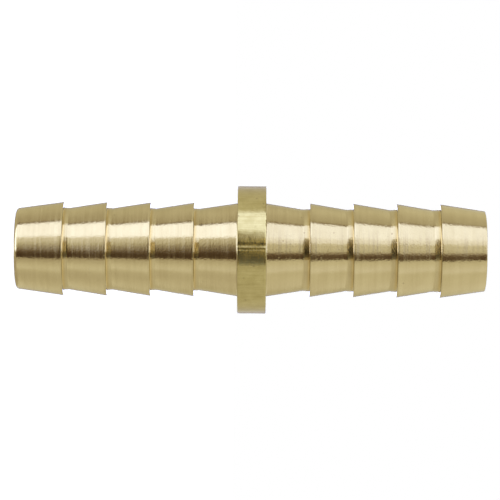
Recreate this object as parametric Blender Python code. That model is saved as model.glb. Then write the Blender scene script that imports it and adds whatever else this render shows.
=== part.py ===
"""Hose barb splice: a turned brass fitting that joins two lengths of hose end to end.

The fitting is one piece of bar. A plain round collar sits at its middle, a run of saw-tooth
barbs lies on each side of it, and one bore goes right through. It stands on its lower end,
with the bore's axis on Z and the lower end face at Z = 0. All sizes are in metres.
"""

import math
from collections import namedtuple

import bmesh
import bpy
from mathutils import Vector

MM = 0.001

# Collar, which keeps the drawn surface of the bar and stops both hoses
COLLAR_DIAMETER = 14.29 * MM
COLLAR_WIDTH = 3.20 * MM
COLLAR_EDGE_BREAK = 0.08 * MM

# Barbs: each is a cone that widens towards the collar, between a narrow land at its root and one
# at its crest, and it ends in a square shoulder
BARBS_PER_END = 5
BARB_PITCH = 4.87 * MM
CREST_DIAMETER = 10.46 * MM
SHOULDER_HEIGHT = 0.61 * MM
ROOT_LAND = 0.47 * MM
CREST_LAND = 0.14 * MM
ROOT_RADIUS = 0.12 * MM
CREST_EDGE_BREAK = 0.07 * MM

# End barbs: a longer cone that runs down to the tip, which is rounder at the lower end
LOWER_END_LENGTH = 5.37 * MM
LOWER_TIP_RADIUS = 0.45 * MM
UPPER_END_LENGTH = 5.09 * MM
UPPER_TIP_RADIUS = 0.13 * MM

# Walls round the bore, which is straight and open at both ends
WALL_UNDER_ROOTS = 1.245 * MM
WALL_AT_TIP = 1.125 * MM
BORE_EDGE_BREAK = 0.15 * MM

# Facets round the axis, and along each small arc of the section
FACETS_ROUND = 64
TIP_FACETS = 3
EDGE_FACETS = 1

SHARP_ANGLE = math.radians(35)

BRASS_COLOUR = (0.43, 0.35, 0.165, 1.0)
BRASS_ROUGHNESS = 0.32

# A corner of the section: its place as (radius, height), the radius of its arc and its facets
Corner = namedtuple("Corner", "place radius facets")


def clear_scene():
    for existing in list(bpy.data.objects):
        bpy.data.objects.remove(existing, do_unlink=True)


def brass():
    """Bare turned brass."""
    material = bpy.data.materials.new("brass")
    material.use_nodes = True
    shader = material.node_tree.nodes["Principled BSDF"]
    shader.inputs["Base Color"].default_value = BRASS_COLOUR
    shader.inputs["Metallic"].default_value = 1.0
    shader.inputs["Roughness"].default_value = BRASS_ROUGHNESS
    return material


def barbed_end(collar_face, direction, end_length, tip_radius):
    """Corners of one half's outside, from the collar's face out to the mouth of the bore.

    direction is 1 for the half above the collar and -1 for the half below it.
    """
    crest = CREST_DIAMETER / 2
    root = crest - SHOULDER_HEIGHT
    bore = root - WALL_UNDER_ROOTS
    tip = bore + WALL_AT_TIP
    crest_land = direction * CREST_LAND
    root_land = direction * ROOT_LAND
    height = collar_face
    corners = [
        Corner(Vector((crest, height)), 0.0, 0),
        Corner(Vector((crest, height + crest_land)), 0.0, 0),
    ]
    for _ in range(BARBS_PER_END - 1):
        height += direction * BARB_PITCH
        corners += [
            Corner(Vector((root, height - root_land)), 0.0, 0),
            Corner(Vector((root, height)), ROOT_RADIUS, EDGE_FACETS),
            Corner(Vector((crest, height)), CREST_EDGE_BREAK, EDGE_FACETS),
            Corner(Vector((crest, height + crest_land)), 0.0, 0),
        ]
    end_face = height + direction * end_length
    corners.append(Corner(Vector((tip, end_face)), tip_radius, TIP_FACETS))
    corners.append(Corner(Vector((bore, end_face)), BORE_EDGE_BREAK, EDGE_FACETS))
    return corners


def collar(lower_face, upper_face):
    """Corners of the collar's rim, from its upper face to its lower one."""
    rim = COLLAR_DIAMETER / 2
    return [
        Corner(Vector((rim, face)), COLLAR_EDGE_BREAK, EDGE_FACETS)
        for face in (upper_face, lower_face)
    ]


def splice_section():
    """The closed section of the fitting, clockwise from the top of the bore."""
    lower_face = LOWER_END_LENGTH + (BARBS_PER_END - 1) * BARB_PITCH
    upper_face = lower_face + COLLAR_WIDTH
    upper_end = barbed_end(upper_face, 1, UPPER_END_LENGTH, UPPER_TIP_RADIUS)
    lower_end = barbed_end(lower_face, -1, LOWER_END_LENGTH, LOWER_TIP_RADIUS)
    return upper_end[::-1] + collar(lower_face, upper_face) + lower_end


def corner_arc(before, corner, after):
    """Points that round a corner with an arc touching both of its sides; one facet chamfers it."""
    if corner.facets == 0:
        return [corner.place]
    to_before = (before - corner.place).normalized()
    to_after = (after - corner.place).normalized()
    half_angle = to_before.angle(to_after) / 2
    middle = (to_before + to_after).normalized()
    centre = corner.place + middle * corner.radius / math.sin(half_angle)
    reach = corner.radius / math.tan(half_angle)
    first = corner.place + to_before * reach - centre
    last = corner.place + to_after * reach - centre
    start = math.atan2(first.y, first.x)
    turn = math.remainder(math.atan2(last.y, last.x) - start, math.tau)
    return [
        centre + corner.radius * Vector((math.cos(angle), math.sin(angle)))
        for angle in (start + turn * step / corner.facets for step in range(corner.facets + 1))
    ]


def rounded_outline(corners):
    """Every corner of a closed section made into its arc."""
    outline = []
    for index, corner in enumerate(corners):
        before = corners[index - 1].place
        after = corners[(index + 1) % len(corners)].place
        outline += corner_arc(before, corner, after)
    return outline


def turned(name, outline, material):
    """An object made by spinning a closed outline of (radius, height) points about Z."""
    mesh = bpy.data.meshes.new(name)
    shape = bmesh.new()
    points = [shape.verts.new((radius, 0.0, height)) for radius, height in outline]
    sides = [
        shape.edges.new((point, following))
        for point, following in zip(points, points[1:] + points[:1])
    ]
    bmesh.ops.spin(
        shape,
        geom=points + sides,
        axis=(0.0, 0.0, 1.0),
        cent=(0.0, 0.0, 0.0),
        angle=math.tau,
        steps=FACETS_ROUND,
        use_merge=True,
    )
    bmesh.ops.recalc_face_normals(shape, faces=shape.faces)
    shape.to_mesh(mesh)
    shape.free()
    mesh.shade_smooth()
    mesh.set_sharp_from_angle(angle=SHARP_ANGLE)
    mesh.materials.append(material)
    piece = bpy.data.objects.new(name, mesh)
    bpy.context.scene.collection.objects.link(piece)
    return piece


def main():
    clear_scene()
    turned("splice_body", rounded_outline(splice_section()), brass())


main()
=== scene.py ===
"""Studio picture of the brass hose barb splice.

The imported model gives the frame, and two finer turned meshes stand for its one node: the barbed
body and the collar. They have the same section with its arcs drawn out, the relief and the feed
lines that the turning tool leaves on the barbs, and the bar's drawn surface on the collar. The
fitting stands on its lower end, so the camera is turned a quarter and the fitting lies level in
the picture. Sizes are in metres where nothing else is said.
"""

import math
import random
from collections import namedtuple

import bpy
from mathutils import Matrix, Vector, noise


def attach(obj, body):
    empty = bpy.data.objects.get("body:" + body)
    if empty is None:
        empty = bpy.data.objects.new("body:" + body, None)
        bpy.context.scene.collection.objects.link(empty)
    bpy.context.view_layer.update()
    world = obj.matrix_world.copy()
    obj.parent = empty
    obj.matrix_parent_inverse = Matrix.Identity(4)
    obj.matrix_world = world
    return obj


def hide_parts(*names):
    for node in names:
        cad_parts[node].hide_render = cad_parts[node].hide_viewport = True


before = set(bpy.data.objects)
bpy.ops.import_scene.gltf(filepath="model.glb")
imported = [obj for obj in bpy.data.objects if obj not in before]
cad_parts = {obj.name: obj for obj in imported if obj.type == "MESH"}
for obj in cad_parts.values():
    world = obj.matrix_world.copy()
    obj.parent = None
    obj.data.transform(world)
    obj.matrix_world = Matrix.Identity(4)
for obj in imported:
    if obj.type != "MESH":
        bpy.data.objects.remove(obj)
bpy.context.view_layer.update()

MM = 0.001
MM_PER_METRE = 1000.0

# Sizes of the fitting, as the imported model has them
COLLAR_DIAMETER = 14.29 * MM
COLLAR_WIDTH = 3.20 * MM
COLLAR_EDGE_BREAK = 0.08 * MM
BARBS_PER_END = 5
BARB_PITCH = 4.87 * MM
CREST_DIAMETER = 10.46 * MM
SHOULDER_HEIGHT = 0.61 * MM
CREST_LAND = 0.14 * MM
LOWER_END_LENGTH = 5.37 * MM
LOWER_TIP_RADIUS = 0.45 * MM
UPPER_END_LENGTH = 5.09 * MM
UPPER_TIP_RADIUS = 0.13 * MM
BORE_DIAMETER = 6.75 * MM
TIP_DIAMETER = 9.00 * MM
BORE_EDGE_BREAK = 0.15 * MM

LOWER_FACE = LOWER_END_LENGTH + (BARBS_PER_END - 1) * BARB_PITCH
UPPER_FACE = LOWER_FACE + COLLAR_WIDTH
COLLAR_MIDDLE = (LOWER_FACE + UPPER_FACE) / 2

# Fineness of the meshes
BODY_SEGMENTS = 160
COLLAR_SEGMENTS = 720
ARC_FACETS = 6
TIP_FACETS = 8
FEED = 0.14 * MM
BORE_STEP = 1.2 * MM
SHARP_ANGLE = math.radians(40)

# What the turning tool leaves: crest edges that are lightly broken, shoulders that lean a little
# over a rounded root, and a fillet at the collar's foot, which starts just inside the collar
ROLLED_CREST_EDGE = 0.05 * MM
SHOULDER_LEAN = 0.05 * MM
ROOT_RADIUS = 0.15 * MM
COLLAR_FILLET = 0.13 * MM
FILLET_REACH = 1.5 * COLLAR_FILLET
SEAM = 0.004 * MM

# The feed rings, which are of uneven depth, and the heights of a few deeper ones
RING_DEPTH = 0.0012 * MM
DEEP_RING_DEPTH = 0.0015 * MM
DEEP_RINGS = (7.98 * MM, 9.22 * MM, 11.44 * MM, 12.70 * MM, 21.93 * MM, 34.6 * MM, 44.2 * MM)
RING_SEED = 11

# Relief in front of each shoulder, where the root land drops a little towards the cone: its depth
# and width, and the radius and facets of the corner where the cone begins
Relief = namedtuple("Relief", "depth width radius facets")
LOWER_RELIEF = Relief(0.041 * MM, 0.60 * MM, 0.06 * MM, 2)
UPPER_RELIEF = Relief(0.048 * MM, 0.75 * MM, 1.1 * MM, 3)

# How far the collar reaches into the body
COLLAR_ROOT = 0.3 * MM

# The rim of the collar, which keeps the bar's drawn surface. Each wave has its rates per
# millimetre round the bar and along it, and its depth.
WAVES = ((1.1, 0.55, 0.0030 * MM), (2.6, 1.3, 0.0012 * MM))
# Each groove runs along the bar and has its angle from the front, its half width in degrees and
# its depth. It wanders a few tenths of a degree on its way.
GROOVES = (
    (4.1, 2.0, 0.060 * MM), (0.3, 0.9, 0.030 * MM), (-33.0, 1.2, 0.005 * MM),
    (-52.0, 1.6, 0.004 * MM), (47.0, 0.9, 0.004 * MM), (81.0, 1.0, 0.020 * MM),
    (84.5, 0.8, 0.014 * MM), (128.0, 1.3, 0.010 * MM), (166.0, 0.9, 0.024 * MM),
    (171.0, 1.2, 0.018 * MM), (-78.0, 1.0, 0.012 * MM), (-119.0, 1.1, 0.026 * MM),
    (-122.5, 0.8, 0.018 * MM), (-151.0, 1.5, 0.008 * MM),
)
WANDER = 0.35
WANDER_RATE = 0.9
WANDER_PLACE = Vector((0.0, 5.0, 0.0))
# The rim's edges are uneven, and a few stretches of the upper one have small burrs, each with its
# angle from the front, its half width in degrees and its size
EDGE_UNEVENNESS = 0.012 * MM
UNEVEN_RATE = 1.5
BURRS = ((23.0, 7.0, 0.14 * MM), (150.0, 9.0, 0.05 * MM), (-97.0, 6.0, 0.06 * MM))
BURR_RATE = 4.5

# Camera: in front of the middle of the fitting, turned a quarter, and a hair towards the upper end
CAMERA_DISTANCE = 330.0 * MM
CAMERA_RISE = math.radians(0.15)
CAMERA_HEIGHT = 26.246 * MM
CAMERA_SIDE = 0.015 * MM
CAMERA_LENS = 211.4
CAMERA_SENSOR = 36.0
CAMERA_ROLL = math.atan(0.0068)
CAMERA_NEAREST = 0.01
CAMERA_FARTHEST = 10.0

# Light tent: an upright ring of white cloth round the fitting, lit unevenly from outside. Each
# curve gives its brightness against the angle round the fitting, from straight in front (0) to
# the left of someone who stands there (positive), and the curves take turns up the cloth.
TENT_RADIUS = 0.5
TENT_BOTTOM = -2.5
TENT_TOP = 2.5
TENT_SIDES = 96
TENT_BRIGHTEST = 3.2
TENT_FOOT = (
    (-180, 0.9), (-32, 0.8), (-24, 0.5), (-13, 0.6), (-7, 2.4), (0, 3.2), (72, 3.2), (78, 1.0),
    (180, 1.0),
)
TENT_LOW = (
    (-180, 1.05), (-145, 1.08), (-115, 0.80), (-95, 0.80), (-80, 0.84), (-66, 0.97), (-56, 1.24),
    (-45, 1.13), (-36, 0.90), (-27.3, 0.74), (-25.3, 0.12), (-17, 0.13), (-9, 0.24), (-3, 0.49),
    (3, 0.76), (9, 1.00), (15, 1.30), (20, 1.52), (27, 1.58), (31, 1.74), (34, 2.30),
    (72.4, 2.30), (73.4, 0.40), (76, 0.44), (79, 0.82), (95, 0.86), (115, 0.99), (145, 1.18),
    (180, 1.05),
)
TENT_LOW_NEAR = (
    (-180, 1.05), (-145, 1.50), (-115, 1.32), (-80, 1.10), (-66, 1.14), (-56, 1.40), (-45, 1.30),
    (-36, 1.14), (-27.3, 0.98), (-25, 0.11), (-9, 0.10), (-3, 0.09), (3, 0.10), (9, 0.22),
    (15, 0.52), (20, 0.76), (27, 0.92), (31, 1.4), (34, 2.50), (71.8, 2.50), (72.8, 0.18),
    (76, 0.22), (79.5, 0.70), (95, 0.80), (115, 1.0), (145, 1.22), (180, 1.05),
)
TENT_MIDDLE = (
    (-180, 1.05), (-145, 1.10), (-115, 1.04), (-66, 0.90), (-56, 0.98), (-45, 0.97), (-30, 0.94),
    (-26.5, 0.86), (-23, 0.40), (-14, 0.15), (-8, 0.08), (-2, 0.08), (5, 0.13), (12, 0.26),
    (20, 0.40), (28, 0.68), (33, 1.0), (34.5, 1.9), (38, 2.05), (72, 2.05), (76, 1.24),
    (84, 1.20), (95, 1.14), (115, 1.06), (145, 1.04), (180, 1.05),
)
TENT_ABOVE = (
    (-180, 1.05), (-115, 1.04), (-66, 1.06), (-52, 1.18), (-34, 1.12), (-27, 0.88), (-25, 0.24),
    (-16, 0.36), (-8, 0.96), (0, 1.55), (8, 1.8), (14, 1.8), (20, 1.65), (25, 1.7), (30, 2.0),
    (34, 2.3), (38, 2.45), (70, 2.45), (71.5, 0.8), (115, 0.98), (145, 1.1), (180, 1.05),
)
TENT_HIGH_NEAR = (
    (-180, 1.1), (-145, 1.36), (-125, 1.36), (-100, 1.26), (-66, 1.17), (-56, 1.38), (-45, 1.32),
    (-30, 1.14), (-26.8, 1.02), (-25.3, 0.17), (-15, 0.20), (-11, 0.34), (-6, 0.76), (-2, 1.16),
    (2, 1.02), (6, 1.30), (10, 1.0), (14, 1.32), (16, 1.28), (18, 1.74), (28, 1.88), (31, 2.0),
    (34, 2.10), (72.2, 2.10), (73.2, 0.42), (76, 0.46), (79, 0.86), (95, 0.98), (110, 1.12),
    (125, 1.26), (155, 1.35), (180, 1.1),
)
TENT_HIGH = (
    (-180, 1.1), (-145, 1.36), (-125, 1.34), (-100, 1.25), (-66, 1.18), (-56, 1.36), (-45, 1.27),
    (-30, 1.10), (-26.8, 0.98), (-25.3, 0.19), (-15, 0.20), (-11, 0.38), (-6, 0.86), (-2, 1.30),
    (1, 1.06), (4, 1.42), (7, 1.02), (10, 1.44), (13, 1.22), (16, 1.44), (18, 1.72), (28, 1.86),
    (34, 2.05), (71.6, 2.05), (72.6, 0.46), (75.5, 0.50), (78.5, 0.9), (95, 1.0), (110, 1.12),
    (125, 1.26), (155, 1.35), (180, 1.1),
)
TENT_HEAD = (
    (-180, 1.1), (-32, 1.25), (-24, 1.0), (-13, 1.1), (-7, 2.8), (0, 3.2), (74, 3.2), (84, 1.1),
    (180, 1.0),
)
TENT_CURVES = (
    TENT_FOOT,
    TENT_LOW,
    TENT_LOW_NEAR,
    TENT_MIDDLE,
    TENT_ABOVE,
    TENT_HIGH_NEAR,
    TENT_HIGH,
    TENT_HEAD,
)
# The heights between which each curve gives way to the next
TENT_CHANGES = (
    (-0.42, -0.34), (-0.185, -0.115), (-0.09, -0.075), (0.030, 0.038), (0.105, 0.125),
    (0.18, 0.26), (0.38, 0.45),
)
# The cloth's tint at each brightness: warm where it is dim and cool where it is bright. Tints may
# reach past 1, so the nodes hold them at half their value and the glow makes up for it.
TENT_TINT = (
    (0.1, (1.0, 0.62, 0.42)), (0.25, (1.0, 0.72, 0.56)), (0.5, (1.0, 0.86, 0.78)),
    (0.9, (1.0, 0.97, 0.95)), (1.2, (1.0, 1.01, 1.03)), (1.6, (1.0, 1.05, 1.34)),
    (2.2, (1.0, 1.12, 1.80)),
)
TINT_ROOM = 2
# Three tinted cards on the front of the cloth: gold, bronze and cool grey. Each has its tint and
# its share against the height, and all have the same share against the angle.
CARDS = (
    (
        (1.0, 0.80, 0.43),
        (
            (-0.12, 0), (-0.07, 0), (-0.06, 1), (0.010, 1), (0.016, 0), (0.032, 0), (0.040, 1),
            (0.056, 1), (0.068, 0), (0.13, 0),
        ),
    ),
    (
        (0.22, 0.175, 0.088),
        ((-0.12, 0), (0.056, 0), (0.068, 1), (0.11, 1), (0.13, 0)),
    ),
    (
        (0.78, 1.0, 1.40),
        ((-0.12, 0), (0.010, 0), (0.016, 1), (0.030, 1), (0.038, 0), (0.13, 0)),
    ),
)
CARD_ANGLES = ((-180, 0), (-28, 0), (-26, 1), (18, 1), (24, 0), (180, 0))
# A dark flag and a bright strip that stand right behind the fitting: their brightness and their
# share against the angle
BEHIND = (
    (-180, 2.4), (-174, 2.4), (-173, 0.3), (-166, 0.35), (160, 1.0), (162, 0.35), (173, 0.3),
    (174, 2.4), (180, 2.4),
)
BEHIND_REACH = ((-180, 1), (-166, 1), (-160, 0), (160, 0), (162, 1), (180, 1))

# Brass: turned on the barbs, drawn on the collar's rim. The edge tints are what is left of the
# reflection where the surface turns away.
TURNED_LIGHT = (0.445, 0.363, 0.172, 1.0)
TURNED_DARK = (0.400, 0.320, 0.146, 1.0)
# Painted shade: the darker golden brown put into the root corners by the shoulders
PAINTED_ROOT_SHADE = (0.400, 0.280, 0.085, 1.0)
PIT_COLOUR = (0.16, 0.11, 0.05, 1.0)
DRAWN_LIGHT = (0.415, 0.345, 0.136, 1.0)
DRAWN_DARK = (0.350, 0.285, 0.102, 1.0)
TURNED_EDGE_TINT = (0.72, 0.70, 0.60, 1.0)
DRAWN_EDGE_TINT = (0.80, 0.79, 0.84, 1.0)

# Patterns in the brass. Each has its rates per millimetre along the fitting and round it, and
# its detail.
Pattern = namedtuple("Pattern", "along round detail")
FINE_RINGS = Pattern(4.0, 0.12, 2.0)
BROAD_RINGS = Pattern(1.6, 0.05, 2.0)
WORN_RINGS = Pattern(0.5, 0.35, 3.0)
GRAIN = Pattern(4.4, 4.4, 2.0)
DRAWN_LINES = Pattern(0.25, 5.5, 2.0)
CROSS_MARKS = Pattern(3.0, 0.8, 2.0)
MOTTLE = Pattern(1.0, 1.3, 4.0)
PATTERN_ROUGHNESS = 0.6

# Specks in the brass. Each kind has its cells per millimetre, its size in cells and the share of
# the cells that have one. A speck is at full strength in its core.
Specks = namedtuple("Specks", "per_mm reach share")
TURNED_PITS = Specks(1.1, 0.11, 0.16)
DRAWN_PITS = Specks(1.6, 0.2, 0.2)
RUBBED_SPECKS = Specks(3.2, 0.42, 0.35)
SPECK_CORE = 0.5

# Shares of the patterns and marks in the colour
FINE_TONE = 0.3
BROAD_TONE = 0.3
WORN_TONE = 0.4
LINE_TONE = 0.45
MOTTLE_TONE = 0.55
TURNED_PIT_TONE = 0.6
DRAWN_PIT_TONE = 0.5
RUBBED_TONE = 0.30

# Heights and depths of the patterns and marks on each surface, as multiples of its bump
TURNED_BUMP = 0.0022 * MM
FINE_HEIGHT = 2.6
GRAIN_HEIGHT = 4.2
PIT_DEPTH = 4.0
RUBBED_DEPTH = 0.8
DRAWN_BUMP = 0.011 * MM
MOTTLE_HEIGHT = 1.0
CROSS_MARK_HEIGHT = 0.25
LINE_HEIGHT = 0.22

# The ranges below say where a change starts and where it ends and, unless these are 0 and 1, the
# values at its start and end. Lengths in them are in millimetres. First the tones that make the
# darkest and the lightest brass.
TURNED_TONES = (0.38, 0.60)
DRAWN_TONES = (0.36, 0.60)

# Roughness: of the turned brass away from the collar, with less on the polished roots and more on
# the rings, and of the drawn brass
TURNED_ROUGHNESS = (4.0, 24.0, 0.125, 0.16)
POLISHED_ROOTS = (4.66, 4.60, 0.0, -0.055)
ROUGH_FINE_RINGS = (0.50, 0.72, 0.0, 0.10)
ROUGH_WORN_RINGS = (0.45, 0.7, 0.0, 0.03)
DRAWN_ROUGHNESS = (0.35, 0.65, 0.12, 0.18)
ROUGH_CROSS_MARKS = (0.5, 0.7, 0.0, 0.08)

# Painted shade, a darker golden brown, in the corner of each root land by its shoulder. It goes by
# the distance along the barb, the distance from the axis and the distance from the collar's
# middle, because the end barb's cone has none.
PITCH_IN_MM = BARB_PITCH * MM_PER_METRE
HALF_COLLAR_IN_MM = COLLAR_WIDTH / 2 * MM_PER_METRE
COLLAR_MIDDLE_IN_MM = COLLAR_MIDDLE * MM_PER_METRE
ROOT_SHADE_ALONG = (PITCH_IN_MM - 0.40, PITCH_IN_MM - 0.05, 0.0, 0.75)
ROOT_SHADE_RADII = (4.80, 4.70)
ROOT_SHADE_END = (22.0, 22.3, 1.0, 0.0)

# A rubbed patch on the front of the upper half, with specks and streaks along the fine rings
RUBBED_FROM_X = (-2.8, -0.6)
RUBBED_TO_X = (0.9, 0.1)
RUBBED_Y = (-2.0, -3.0)
RUBBED_Z = (27.0, 29.0)
RUBBED_STREAKS = (0.47, 0.64)
RUBBED_SPECK_SHARE = 0.5

# How strongly the rings draw the reflections out, and which way
RING_PULL = 0.9
QUARTER_TURN = 0.25

# Floor just below the fitting, and the white world round it
FLOOR_GLOW = 0.90
FLOOR_COLOUR = (0.2, 0.2, 0.2, 1.0)
FLOOR_SIZE = 6.0
FLOOR_GAP = 0.01 * MM
WORLD_FILL = 0.8
WHITE = (1.0, 1.0, 1.0, 1.0)

# A corner of the section: its place as (radius, height), the radius of its arc and its facets
Corner = namedtuple("Corner", "place radius facets")


def barbed_end(collar_face, direction, end_length, tip_radius, relief):
    """Corners of one half's outside, from just inside the collar out to the mouth of the bore.

    direction is 1 for the half above the collar and -1 for the half below it.
    """
    crest = CREST_DIAMETER / 2
    root = crest - SHOULDER_HEIGHT
    crest_land = direction * CREST_LAND
    height = collar_face
    inside_collar = height - direction * SEAM
    corners = [
        Corner(Vector((crest + FILLET_REACH, inside_collar)), 0.0, 0),
        Corner(Vector((crest, inside_collar)), COLLAR_FILLET, ARC_FACETS),
    ]
    for _ in range(BARBS_PER_END - 1):
        height += direction * BARB_PITCH
        cone_foot = Vector((root - relief.depth, height - direction * relief.width))
        root_corner = Vector((root, height + direction * SHOULDER_LEAN))
        corners += [
            Corner(cone_foot, relief.radius, relief.facets),
            Corner(root_corner, ROOT_RADIUS, ARC_FACETS),
            Corner(Vector((crest, height)), ROLLED_CREST_EDGE, ARC_FACETS),
            Corner(Vector((crest, height + crest_land)), 0.0, 0),
        ]
    end_face = height + direction * end_length
    corners.append(Corner(Vector((TIP_DIAMETER / 2, end_face)), tip_radius, TIP_FACETS))
    corners.append(Corner(Vector((BORE_DIAMETER / 2, end_face)), BORE_EDGE_BREAK, ARC_FACETS))
    return corners


def body_section():
    """The closed section of the barbed body, clockwise from the top of the bore."""
    upper_end = barbed_end(UPPER_FACE, 1, UPPER_END_LENGTH, UPPER_TIP_RADIUS, UPPER_RELIEF)
    lower_end = barbed_end(LOWER_FACE, -1, LOWER_END_LENGTH, LOWER_TIP_RADIUS, LOWER_RELIEF)
    return upper_end[::-1] + lower_end


def collar_section():
    """The closed section of the collar, which reaches a little into the body."""
    rim = COLLAR_DIAMETER / 2
    inner = CREST_DIAMETER / 2 - COLLAR_ROOT
    return [
        Corner(Vector((inner, UPPER_FACE)), 0.0, 0),
        Corner(Vector((rim, UPPER_FACE)), COLLAR_EDGE_BREAK, ARC_FACETS),
        Corner(Vector((rim, LOWER_FACE)), COLLAR_EDGE_BREAK, ARC_FACETS),
        Corner(Vector((inner, LOWER_FACE)), 0.0, 0),
    ]


def corner_arc(before, corner, after):
    """Points that round a corner with an arc touching both of its sides."""
    if corner.facets == 0:
        return [corner.place]
    to_before = (before - corner.place).normalized()
    to_after = (after - corner.place).normalized()
    half_angle = to_before.angle(to_after) / 2
    middle = (to_before + to_after).normalized()
    centre = corner.place + middle * corner.radius / math.sin(half_angle)
    reach = corner.radius / math.tan(half_angle)
    first = corner.place + to_before * reach - centre
    last = corner.place + to_after * reach - centre
    start = math.atan2(first.y, first.x)
    turn = math.remainder(math.atan2(last.y, last.x) - start, math.tau)
    return [
        centre + corner.radius * Vector((math.cos(angle), math.sin(angle)))
        for angle in (start + turn * step / corner.facets for step in range(corner.facets + 1))
    ]


def rounded_outline(corners):
    """Every corner of a closed section made into its arc."""
    outline = []
    for index, corner in enumerate(corners):
        before = corners[index - 1].place
        after = corners[(index + 1) % len(corners)].place
        outline += corner_arc(before, corner, after)
    return outline


def divided(outline):
    """The outline with its long sides cut up: finely outside, in longer steps along the bore."""
    bore = BORE_DIAMETER / 2
    fine = []
    for point, following in zip(outline, outline[1:] + outline[:1]):
        in_bore = max(point.x, following.x) < bore + BORE_EDGE_BREAK / 2
        step = BORE_STEP if in_bore else FEED
        count = max(1, round((following - point).length / step))
        fine += [point.lerp(following, part / count) for part in range(count)]
    return fine


def turned_outline(outline):
    """The outline as the tool leaves it, with rings of uneven depth."""
    chance = random.Random(RING_SEED)
    bore = BORE_DIAMETER / 2
    worked = []
    for point in outline:
        depth = 0.0
        if point.x > bore + BORE_EDGE_BREAK:
            depth += RING_DEPTH * chance.random()
            if any(abs(point.y - ring) < FEED / 2 for ring in DEEP_RINGS):
                depth += DEEP_RING_DEPTH
        worked.append(Vector((point.x - depth, point.y)))
    return worked


def bell(offset, half_width):
    """A smooth bump: 1 in the middle and falling off to both sides."""
    return math.exp(-((offset / half_width) ** 2))


def as_turned(point, angle):
    """A point of the barbed body, which is the same all round."""
    return point


def as_drawn(point, angle):
    """A point of the collar moved in by the bar's waves and grooves, and its edges made uneven."""
    rim = COLLAR_DIAMETER / 2
    on_rim = max(0.0, 1 - (rim - point.x) / COLLAR_EDGE_BREAK)
    if on_rim == 0.0:
        return point
    across = Vector((math.cos(angle), math.sin(angle), 0.0)) * point.x * MM_PER_METRE
    along = Vector((0.0, 0.0, point.y * MM_PER_METRE))
    depth = sum(
        size * (0.5 + 0.5 * noise.noise(across * round_rate + along * along_rate))
        for round_rate, along_rate, size in WAVES
    )
    from_front = math.degrees(math.atan2(-math.cos(angle), -math.sin(angle)))
    wander = WANDER * noise.noise(along * WANDER_RATE + WANDER_PLACE)
    for groove_angle, half_width, groove_depth in GROOVES:
        offset = math.remainder(from_front + wander - groove_angle, 360)
        depth += groove_depth * bell(offset, half_width)
    outward = math.copysign(1.0, point.y - COLLAR_MIDDLE)
    to_edge = COLLAR_WIDTH / 2 - abs(point.y - COLLAR_MIDDLE)
    at_edge = max(0.0, 1 - to_edge / COLLAR_EDGE_BREAK)
    uneven_place = across * UNEVEN_RATE + Vector((0.0, 0.0, outward))
    swell = EDGE_UNEVENNESS * noise.noise(uneven_place)
    for burr_angle, half_width, size in BURRS:
        offset = math.remainder(from_front - burr_angle, 360)
        burr = size * bell(offset, half_width) * noise.noise(across * BURR_RATE)
        swell += burr * (outward > 0)
    return Vector((point.x - depth * on_rim, point.y + outward * at_edge * swell))


def all_turned(point, following):
    """The barbed body has one finish."""
    return 0


def drawn_on_rim(point, following):
    """The collar is drawn brass, the second material, on its rim and turned beside it."""
    rim = COLLAR_DIAMETER / 2 - COLLAR_EDGE_BREAK / 2
    return int(min(point.x, following.x) > rim)


def new_mesh(name, vertices, faces, *materials):
    mesh = bpy.data.meshes.new(name)
    mesh.from_pydata(vertices, [], faces)
    for material in materials:
        mesh.materials.append(material)
    return mesh


def new_object(name, data):
    """An object in the scene for a mesh or a camera."""
    made = bpy.data.objects.new(name, data)
    bpy.context.scene.collection.objects.link(made)
    return made


def spun(name, outline, segments, relief, finish, *materials):
    """A mesh made by spinning a closed outline of (radius, height) points about Z.

    relief moves each point by its angle, and finish gives a side's place in the materials.
    """
    angles = [math.tau * step / segments for step in range(segments)]
    vertices = []
    for point in outline:
        for angle in angles:
            radius, height = relief(point, angle)
            vertices.append((radius * math.cos(angle), radius * math.sin(angle), height))
    rings = len(outline)
    faces = []
    finishes = []
    for ring in range(rings):
        following = (ring + 1) % rings
        for step in range(segments):
            beside = (step + 1) % segments
            faces.append(
                (
                    ring * segments + step,
                    following * segments + step,
                    following * segments + beside,
                    ring * segments + beside,
                )
            )
        finishes += [finish(outline[ring], outline[following])] * segments
    mesh = new_mesh(name, vertices, faces, *materials)
    mesh.polygons.foreach_set("material_index", finishes)
    mesh.shade_smooth()
    mesh.set_sharp_from_angle(angle=SHARP_ANGLE)
    mesh.validate()
    mesh.update()
    piece = new_object(name, mesh)
    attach(piece, "root")
    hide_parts("splice_body")
    return piece


def add_node(tree, kind, inputs=None, **settings):
    """A node with its settings made and its inputs set or linked, by name or number."""
    node = tree.nodes.new(kind)
    for name, value in settings.items():
        setattr(node, name, value)
    for key, value in (inputs or {}).items():
        if isinstance(value, bpy.types.NodeSocket):
            tree.links.new(value, node.inputs[key])
        else:
            node.inputs[key].default_value = value
    return node


def math_of(tree, operation, *values):
    """The output of one Math node."""
    node = add_node(tree, "ShaderNodeMath", dict(enumerate(values)), operation=operation)
    return node.outputs[0]


def times(tree, first, second):
    return math_of(tree, "MULTIPLY", first, second)


def plus(tree, first, second):
    return math_of(tree, "ADD", first, second)


def minus(tree, first, second):
    return math_of(tree, "SUBTRACT", first, second)


def weighted_sum(tree, *parts):
    """The sum of (value, weight) parts."""
    total = times(tree, *parts[0])
    for part in parts[1:]:
        total = plus(tree, total, times(tree, *part))
    return total


def ranged(tree, value, low, high, to_low=0.0, to_high=1.0):
    """A value mapped from one range to another, and held at its ends."""
    inputs = {0: value, 1: low, 2: high, 3: to_low, 4: to_high}
    return add_node(tree, "ShaderNodeMapRange", inputs, clamp=True).outputs[0]


def mixed(tree, factor, first, second):
    """The colour output of a Mix node."""
    inputs = {0: factor, 6: first, 7: second}
    return add_node(tree, "ShaderNodeMix", inputs, data_type="RGBA").outputs[2]


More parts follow.
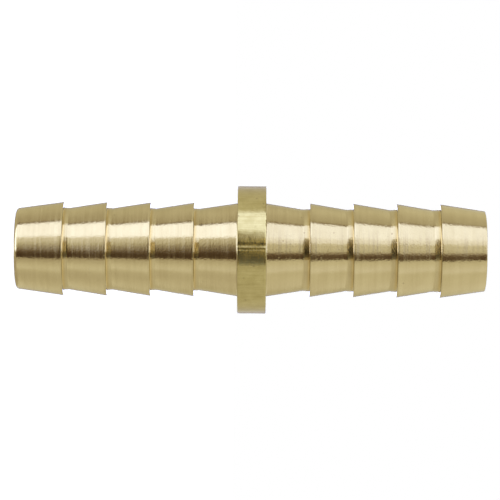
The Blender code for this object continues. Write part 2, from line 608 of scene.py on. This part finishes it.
def ramp_of(tree, factor, stops):
    """The colour output of a ramp through (position, colour) stops."""
    node = add_node(tree, "ShaderNodeValToRGB", {"Fac": factor})
    elements = node.color_ramp.elements
    while len(elements) > 1:
        elements.remove(elements[-1])
    elements[0].position = stops[0][0]
    elements[0].color = stops[0][1]
    for position, colour in stops[1:]:
        elements.new(position).color = colour
    return node.outputs["Color"]


def grey_ramp(tree, factor, stops, most=1.0):
    """A ramp through (place, level) stops.

    factor runs from 0 at the first place to 1 at the last, and most is the level that is white.
    """
    first = stops[0][0]
    last = stops[-1][0]
    greys = [
        ((place - first) / (last - first), (level / most,) * 3 + (1.0,)) for place, level in stops
    ]
    return ramp_of(tree, factor, greys)


def new_material(name):
    """An empty material with its output node."""
    material = bpy.data.materials.new(name)
    material.use_nodes = True
    tree = material.node_tree
    tree.nodes.clear()
    return material, tree, tree.nodes.new("ShaderNodeOutputMaterial")


def combined(tree, x, y, z):
    """The vector output of a Combine node."""
    return add_node(tree, "ShaderNodeCombineXYZ", {0: x, 1: y, 2: z}).outputs[0]


def scaled(tree, vector, scale):
    inputs = {0: vector, 3: scale}
    return add_node(tree, "ShaderNodeVectorMath", inputs, operation="SCALE").outputs[0]


def place_in_mm(tree):
    """The point's x, y and z in millimetres."""
    coordinates = tree.nodes.new("ShaderNodeTexCoord").outputs["Object"]
    in_mm = scaled(tree, coordinates, MM_PER_METRE)
    return add_node(tree, "ShaderNodeSeparateXYZ", {0: in_mm}).outputs


def distance_from_axis(tree, x, y):
    flat = combined(tree, x, y, 0.0)
    node = add_node(tree, "ShaderNodeVectorMath", {0: flat}, operation="LENGTH")
    return node.outputs["Value"]


def pattern_of(tree, x, y, along, pattern):
    """The factor of a noise that is drawn out as its pattern says."""
    vector = combined(
        tree,
        times(tree, x, pattern.round),
        times(tree, y, pattern.round),
        times(tree, along, pattern.along),
    )
    inputs = {
        "Vector": vector,
        "Scale": 1.0,
        "Detail": pattern.detail,
        "Roughness": PATTERN_ROUGHNESS,
    }
    return add_node(tree, "ShaderNodeTexNoise", inputs).outputs["Fac"]


def specks_of(tree, place, specks):
    """A mask of small scattered specks."""
    vector = scaled(tree, place, specks.per_mm)
    cells = add_node(tree, "ShaderNodeTexVoronoi", {"Vector": vector, "Scale": 1.0})
    core = specks.reach * SPECK_CORE
    near = ranged(tree, cells.outputs["Distance"], specks.reach, core)
    pick = add_node(tree, "ShaderNodeSeparateColor", {0: cells.outputs["Color"]}).outputs[0]
    return times(tree, near, math_of(tree, "GREATER_THAN", pick, 1 - specks.share))


def bumped(tree, height, distance):
    """The normal of a surface that rises by a height."""
    inputs = {"Height": height, "Distance": distance, "Strength": 1.0}
    return add_node(tree, "ShaderNodeBump", inputs).outputs[0]


def turned_brass():
    """Bright turned brass with uneven rings, painted root-corner shade, pits and a rubbed patch.
    """
    material, tree, output = new_material("brass_turned")
    x, y, z = place_in_mm(tree)
    place = combined(tree, x, y, z)
    radius = distance_from_axis(tree, x, y)
    along = plus(tree, z, radius)
    from_collar = math_of(tree, "ABSOLUTE", minus(tree, z, COLLAR_MIDDLE_IN_MM))
    fine = pattern_of(tree, x, y, along, FINE_RINGS)
    broad = pattern_of(tree, x, y, along, BROAD_RINGS)
    worn = pattern_of(tree, x, y, along, WORN_RINGS)
    grain = pattern_of(tree, x, y, along, GRAIN)
    pits = specks_of(tree, place, TURNED_PITS)

    rubbed = times(
        tree,
        times(tree, ranged(tree, x, *RUBBED_FROM_X), ranged(tree, x, *RUBBED_TO_X)),
        times(tree, ranged(tree, z, *RUBBED_Z), ranged(tree, y, *RUBBED_Y)),
    )
    rubbed_specks = times(tree, specks_of(tree, place, RUBBED_SPECKS), RUBBED_SPECK_SHARE)
    rubbed_streaks = ranged(tree, fine, *RUBBED_STREAKS)
    marks = times(tree, rubbed, plus(tree, rubbed_specks, rubbed_streaks))

    past_collar = minus(tree, from_collar, HALF_COLLAR_IN_MM)
    past_shoulder = math_of(tree, "MODULO", past_collar, PITCH_IN_MM)
    on_root = times(
        tree, ranged(tree, radius, *ROOT_SHADE_RADII), ranged(tree, from_collar, *ROOT_SHADE_END)
    )
    # Painted shade in the root corners, growing darker towards each shoulder
    painted_corner_shade = times(tree, ranged(tree, past_shoulder, *ROOT_SHADE_ALONG), on_root)

    tone = weighted_sum(tree, (broad, BROAD_TONE), (fine, FINE_TONE), (worn, WORN_TONE))
    colour = mixed(tree, ranged(tree, tone, *TURNED_TONES), TURNED_DARK, TURNED_LIGHT)
    # Paint the shade into the root corners
    colour = mixed(tree, painted_corner_shade, colour, PAINTED_ROOT_SHADE)
    colour = mixed(tree, times(tree, pits, TURNED_PIT_TONE), colour, PIT_COLOUR)
    colour = mixed(tree, times(tree, marks, RUBBED_TONE), colour, PIT_COLOUR)

    smooth = plus(
        tree,
        ranged(tree, from_collar, *TURNED_ROUGHNESS),
        ranged(tree, radius, *POLISHED_ROOTS),
    )
    in_rings = plus(
        tree, ranged(tree, fine, *ROUGH_FINE_RINGS), ranged(tree, worn, *ROUGH_WORN_RINGS)
    )
    raised = weighted_sum(tree, (fine, FINE_HEIGHT), (grain, GRAIN_HEIGHT))
    sunk = weighted_sum(tree, (pits, PIT_DEPTH), (marks, RUBBED_DEPTH))
    tangent = add_node(tree, "ShaderNodeTangent", direction_type="RADIAL", axis="Z")
    shader = add_node(
        tree,
        "ShaderNodeBsdfPrincipled",
        {
            "Base Color": colour,
            "Metallic": 1.0,
            "Roughness": plus(tree, smooth, in_rings),
            "Specular Tint": TURNED_EDGE_TINT,
            "Anisotropic": RING_PULL,
            "Anisotropic Rotation": QUARTER_TURN,
            "Normal": bumped(tree, minus(tree, raised, sunk), TURNED_BUMP),
            "Tangent": tangent.outputs[0],
        },
    )
    tree.links.new(shader.outputs[0], output.inputs["Surface"])
    return material


def drawn_brass():
    """The bar's own surface: yellower, mottled, with lines along the bar."""
    material, tree, output = new_material("brass_drawn")
    x, y, z = place_in_mm(tree)
    lines = pattern_of(tree, x, y, z, DRAWN_LINES)
    across = pattern_of(tree, x, y, z, CROSS_MARKS)
    mottle = pattern_of(tree, x, y, z, MOTTLE)
    pits = specks_of(tree, combined(tree, x, y, z), DRAWN_PITS)

    tone = weighted_sum(tree, (lines, LINE_TONE), (mottle, MOTTLE_TONE))
    colour = mixed(tree, ranged(tree, tone, *DRAWN_TONES), DRAWN_DARK, DRAWN_LIGHT)
    colour = mixed(tree, times(tree, pits, DRAWN_PIT_TONE), colour, PIT_COLOUR)
    roughness = plus(
        tree,
        ranged(tree, mottle, *DRAWN_ROUGHNESS),
        ranged(tree, across, *ROUGH_CROSS_MARKS),
    )
    height = weighted_sum(
        tree, (mottle, MOTTLE_HEIGHT), (across, CROSS_MARK_HEIGHT), (lines, LINE_HEIGHT)
    )
    shader = add_node(
        tree,
        "ShaderNodeBsdfPrincipled",
        {
            "Base Color": colour,
            "Metallic": 1.0,
            "Roughness": roughness,
            "Specular Tint": DRAWN_EDGE_TINT,
            "Normal": bumped(tree, height, DRAWN_BUMP),
        },
    )
    tree.links.new(shader.outputs[0], output.inputs["Surface"])
    return material


def held_tint(tint):
    """A tint at the part of its value that the nodes hold."""
    return tuple(part / TINT_ROOM for part in tint) + (1.0,)


def tent_material():
    """White cloth that glows by the tent's curves, each at its own height."""
    material, tree, output = new_material("tent_cloth")
    coordinates = tree.nodes.new("ShaderNodeTexCoord").outputs["Object"]
    x, y, z = add_node(tree, "ShaderNodeSeparateXYZ", {0: coordinates}).outputs
    angle = math_of(tree, "ARCTAN2", times(tree, x, -1.0), times(tree, y, -1.0))
    turn = ranged(tree, angle, -math.pi, math.pi)

    level = grey_ramp(tree, turn, TENT_CURVES[0], TENT_BRIGHTEST)
    for change, curve in zip(TENT_CHANGES, TENT_CURVES[1:]):
        next_level = grey_ramp(tree, turn, curve, TENT_BRIGHTEST)
        level = mixed(tree, ranged(tree, z, *change), level, next_level)
    behind = grey_ramp(tree, turn, BEHIND, TENT_BRIGHTEST)
    level = mixed(tree, grey_ramp(tree, turn, BEHIND_REACH), level, behind)
    level = add_node(tree, "ShaderNodeSeparateColor", {0: level}).outputs[0]

    tints = [(brightness / TENT_BRIGHTEST, held_tint(tint)) for brightness, tint in TENT_TINT]
    tint = ramp_of(tree, level, tints)
    across = grey_ramp(tree, turn, CARD_ANGLES)
    for card_tint, heights in CARDS:
        height = ranged(tree, z, heights[0][0], heights[-1][0])
        card = times(tree, grey_ramp(tree, height, heights), across)
        tint = mixed(tree, card, tint, held_tint(card_tint))

    strength = times(tree, level, TINT_ROOM * TENT_BRIGHTEST)
    glow = add_node(tree, "ShaderNodeEmission", {"Color": tint, "Strength": strength})
    tree.links.new(glow.outputs[0], output.inputs["Surface"])
    return material


def light_tent():
    """The ring of cloth round the fitting. The camera looks through it."""
    corners = []
    faces = []
    for side in range(TENT_SIDES):
        angle = math.tau * side / TENT_SIDES
        across = (TENT_RADIUS * math.cos(angle), TENT_RADIUS * math.sin(angle))
        corners += [across + (TENT_BOTTOM,), across + (TENT_TOP,)]
        beside = (side + 1) % TENT_SIDES
        faces.append((2 * side, 2 * side + 1, 2 * beside + 1, 2 * beside))
    tent = new_object("light_tent", new_mesh("light_tent", corners, faces, tent_material()))
    tent.visible_camera = False


def floor_material():
    """A pale surface that the camera sees as white, apart from the fitting's soft shadow."""
    material, tree, output = new_material("floor_white")
    seen = tree.nodes.new("ShaderNodeLightPath").outputs["Is Camera Ray"]
    glow = add_node(tree, "ShaderNodeEmission", {"Strength": times(tree, seen, FLOOR_GLOW)})
    matt = add_node(tree, "ShaderNodeBsdfDiffuse", {"Color": FLOOR_COLOUR})
    both = add_node(tree, "ShaderNodeAddShader", {0: glow.outputs[0], 1: matt.outputs[0]})
    tree.links.new(both.outputs[0], output.inputs["Surface"])
    return material


def pale_floor():
    half = FLOOR_SIZE / 2
    corners = [(-half, -half, 0), (half, -half, 0), (half, half, 0), (-half, half, 0)]
    floor = new_object("floor", new_mesh("floor", corners, [(0, 1, 2, 3)], floor_material()))
    floor.location.z = -FLOOR_GAP
    floor.visible_glossy = False
    floor.visible_shadow = False


def white_world():
    """White to the camera and in reflections, and a little dimmer as a light."""
    world = bpy.data.worlds.new("studio")
    bpy.context.scene.world = world
    world.use_nodes = True
    tree = world.node_tree
    tree.nodes.clear()
    path = tree.nodes.new("ShaderNodeLightPath").outputs
    mirrored = math_of(tree, "MAXIMUM", path["Is Glossy Ray"], path["Is Transmission Ray"])
    seen = math_of(tree, "MAXIMUM", path["Is Camera Ray"], mirrored)
    strength = ranged(tree, seen, 0.0, 1.0, WORLD_FILL, 1.0)
    sky = add_node(tree, "ShaderNodeBackground", {"Color": WHITE, "Strength": strength})
    output = tree.nodes.new("ShaderNodeOutputWorld")
    tree.links.new(sky.outputs[0], output.inputs["Surface"])


def camera():
    """Looks along +Y at the middle of the fitting, with +Z to the right of the picture."""
    data = bpy.data.cameras.new("camera")
    data.lens = CAMERA_LENS
    data.sensor_width = CAMERA_SENSOR
    data.clip_start = CAMERA_NEAREST
    data.clip_end = CAMERA_FARTHEST
    back = Vector((0.0, -math.cos(CAMERA_RISE), math.sin(CAMERA_RISE)))
    level = Vector((0.0, math.sin(CAMERA_RISE), math.cos(CAMERA_RISE)))
    upright = Vector((-1.0, 0.0, 0.0))
    right = level * math.cos(CAMERA_ROLL) + upright * math.sin(CAMERA_ROLL)
    up = upright * math.cos(CAMERA_ROLL) - level * math.sin(CAMERA_ROLL)
    turned = Matrix((right, up, back)).transposed().to_4x4()
    middle = Vector((CAMERA_SIDE, 0.0, CAMERA_HEIGHT))
    view = new_object("camera", data)
    view.matrix_world = Matrix.Translation(middle + back * CAMERA_DISTANCE) @ turned
    bpy.context.scene.camera = view


def fitting():
    """The barbed body and the collar round its middle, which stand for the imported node."""
    turned = turned_brass()
    body = turned_outline(divided(rounded_outline(body_section())))
    spun("barbed_body", body, BODY_SEGMENTS, as_turned, all_turned, turned)
    collar = divided(rounded_outline(collar_section()))
    spun("collar", collar, COLLAR_SEGMENTS, as_drawn, drawn_on_rim, turned, drawn_brass())


camera()
fitting()
light_tent()
pale_floor()
white_world()
bpy.context.scene.view_settings.view_transform = "Standard"
